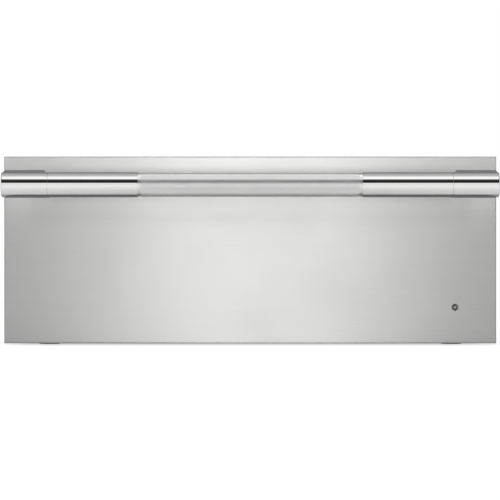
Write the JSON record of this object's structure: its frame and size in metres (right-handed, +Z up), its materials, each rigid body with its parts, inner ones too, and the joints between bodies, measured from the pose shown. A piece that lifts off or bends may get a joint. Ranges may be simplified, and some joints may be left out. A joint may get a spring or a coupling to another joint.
{
  "type": "warming drawer",
  "caption": "Built-in style warming drawer: flat stainless front with a full-width bar handle, a small indicator light, an insulated case and a pan on full-extension ball slides.",
  "frame": {"origin": "middle of the outer box at the plane that the feet stand on", "axes": "+X to the right of a user who faces the drawer front, +Y to the back, +Z up; the drawer opens along -Y"},
  "size_m": [0.756, 0.678, 0.29],
  "materials": {
    "stainless_brushed": "stainless sheet, fine horizontal brushing",
    "stainless_polished": "polished stainless",
    "grip_knurl": "satin stainless with a fine diamond knurl",
    "stainless_inner": "plain stainless sheet",
    "galvanised": "galvanised steel sheet",
    "zinc_steel": "zinc plated steel",
    "ball_steel": "polished bearing steel",
    "black_plastic": "moulded black plastic",
    "gloss_black": "gloss black moulding",
    "clear_lens": "clear moulded lens",
    "silicone": "heat resistant silicone",
    "mineral_wool": "mineral wool",
    "element_sheath": "oxidised nickel alloy sheath",
    "probe_steel": "stainless probe and thermostat can",
    "circuit_board": "solder mask",
    "terminal_plastic": "cream thermoset"
  },
  "bodies": {
    "chassis": {"case_wrap": "galvanised", "case_lid": "galvanised", "case_screws": "zinc_steel", "case_back": "galvanised", "cable_bush": "black_plastic", "feet": "black_plastic", "foot_nuts": "zinc_steel", "front_frame": "galvanised", "frame_gasket": "silicone", "cavity_liner": "stainless_inner", "insulation_jacket": "mineral_wool", "heating_element": "element_sheath", "element_bars": "zinc_steel", "element_shield": "stainless_inner", "cavity_probe": "probe_steel", "limit_thermostat": "probe_steel", "terminal_block": "terminal_plastic", "terminal_screws": "zinc_steel", "slide_outer_right": "zinc_steel", "slide_outer_left": "zinc_steel"},
    "slide_middle": {"slide_middle_right": "zinc_steel", "slide_middle_left": "zinc_steel"},
    "outer_cages": {"outer_cage_right": "zinc_steel", "outer_cage_left": "zinc_steel", "outer_balls": "ball_steel"},
    "inner_cages": {"inner_cage_right": "zinc_steel", "inner_cage_left": "zinc_steel", "inner_balls": "ball_steel"},
    "vent_slider": {"vent_slider": "stainless_inner"},
    "button_power": {"button_power": "gloss_black"},
    "button_low": {"button_low": "gloss_black"},
    "button_medium": {"button_medium": "gloss_black"},
    "button_high": {"button_high": "gloss_black"},
    "drawer": {"control_board": "circuit_board", "control_fascia": "gloss_black", "control_housing": "black_plastic", "drawer_pan": "stainless_inner", "front_angle_left": "zinc_steel", "front_angle_right": "zinc_steel", "front_inner_panel": "stainless_inner", "front_insulation": "mineral_wool", "front_skin": "stainless_brushed", "handle_bracket_left": "stainless_polished", "handle_bracket_right": "stainless_polished", "handle_core": "zinc_steel", "handle_grip": "grip_knurl", "handle_screws": "zinc_steel", "handle_sleeve_left": "stainless_polished", "handle_sleeve_right": "stainless_polished", "indicator_bezel": "black_plastic", "indicator_board": "circuit_board", "indicator_lens": "clear_lens", "pan_screws": "zinc_steel", "side_rail_left": "zinc_steel", "side_rail_right": "zinc_steel", "slide_inner_left": "zinc_steel", "slide_inner_right": "zinc_steel", "vent_guides": "stainless_inner"}
  },
  "joints": [
    {"name": "drawer_slide", "type": "slide", "parent": "chassis", "child": "drawer", "axis": [0, -1, 0], "range_m": [0, 0.48]},
    {"name": "middle_member_slide", "type": "slide", "parent": "chassis", "child": "slide_middle", "axis": [0, -1, 0], "range_m": [0, 0.24]},
    {"name": "outer_cage_roll", "type": "slide", "parent": "chassis", "child": "outer_cages", "axis": [0, -1, 0], "range_m": [0, 0.12]},
    {"name": "inner_cage_roll", "type": "slide", "parent": "chassis", "child": "inner_cages", "axis": [0, -1, 0], "range_m": [0, 0.36]},
    {"name": "vent_slide", "type": "slide", "parent": "drawer", "child": "vent_slider", "axis": [-1, 0, 0], "range_m": [0, 0.026]},
    {"name": "button_power_press", "type": "slide", "parent": "drawer", "child": "button_power", "axis": [0, 0, -1], "range_m": [0, 0.0008], "stiffness_N_per_m": 500, "springref_m": -0.0006},
    {"name": "button_low_press", "type": "slide", "parent": "drawer", "child": "button_low", "axis": [0, 0, -1], "range_m": [0, 0.0008], "stiffness_N_per_m": 500, "springref_m": -0.0006},
    {"name": "button_medium_press", "type": "slide", "parent": "drawer", "child": "button_medium", "axis": [0, 0, -1], "range_m": [0, 0.0008], "stiffness_N_per_m": 500, "springref_m": -0.0006},
    {"name": "button_high_press", "type": "slide", "parent": "drawer", "child": "button_high", "axis": [0, 0, -1], "range_m": [0, 0.0008], "stiffness_N_per_m": 500, "springref_m": -0.0006}
  ],
  "couplings": [
    {"joint": "middle_member_slide", "follows": "drawer_slide", "ratio": 0.5},
    {"joint": "outer_cage_roll", "follows": "drawer_slide", "ratio": 0.25},
    {"joint": "inner_cage_roll", "follows": "drawer_slide", "ratio": 0.75}
  ]
}
